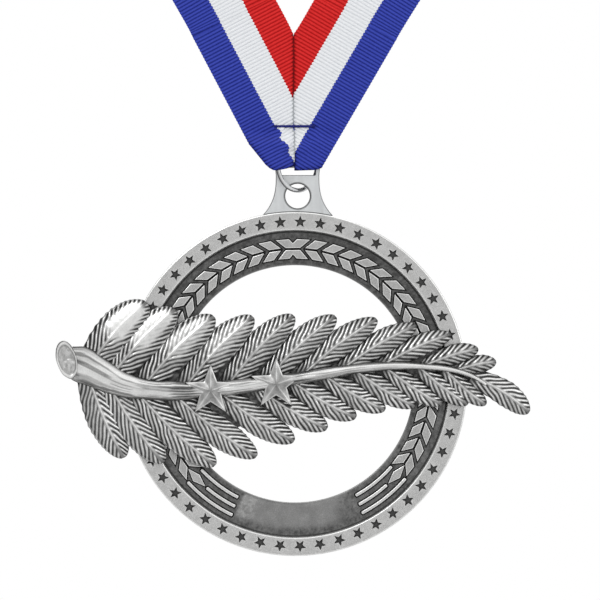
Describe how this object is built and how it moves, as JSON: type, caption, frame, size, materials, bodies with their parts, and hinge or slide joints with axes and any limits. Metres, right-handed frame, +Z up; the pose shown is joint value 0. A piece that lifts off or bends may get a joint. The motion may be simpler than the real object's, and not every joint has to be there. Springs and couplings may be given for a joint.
{
  "type": "sports finisher medal",
  "caption": "Open cast ring medal with a leafy frond across it, hung by a tab and split ring from a striped neck ribbon sewn to a V.",
  "frame": {"origin": "middle of the ribbon at the nape, where a neck or a peg holds it", "axes": "+Z up as worn, +X to the right of someone looking at the medal's face, -Y the way the face looks"},
  "size_m": [0.1692, 0.1525, 0.3489],
  "materials": {
    "ribbon": "ribbed grosgrain in red, white and blue stripes",
    "thread": "blue sewing thread",
    "wire": "bright nickel plate",
    "tab_metal": "smooth bright plate",
    "cast_metal": "antique silver plate, dark in the recesses",
    "frond_metal": "antique silver plate, dark in the veins",
    "rivet_metal": "dull plate"
  },
  "bodies": {
    "ribbon": {"neck_ribbon": "ribbon", "seam_stitching": "thread", "bar_tack": "thread"},
    "jump_ring": {"jump_ring": "wire"},
    "medal": {"hanger_tab": "tab_metal", "medal_ring": "cast_metal", "frond": "frond_metal", "frond_rivets": "rivet_metal"}
  },
  "joints": [
    {"name": "ring_swing", "type": "hinge", "parent": "ribbon", "child": "jump_ring", "pos_m": [0, -0.146, -0.2355], "axis": [0.7431, 0.6691, 0], "range_deg": [0, 60]},
    {"name": "medal_swing", "type": "hinge", "parent": "jump_ring", "child": "medal", "pos_m": [0, -0.146, -0.2485], "axis": [0.7431, 0.6691, 0], "range_deg": [-40, 15]}
  ]
}
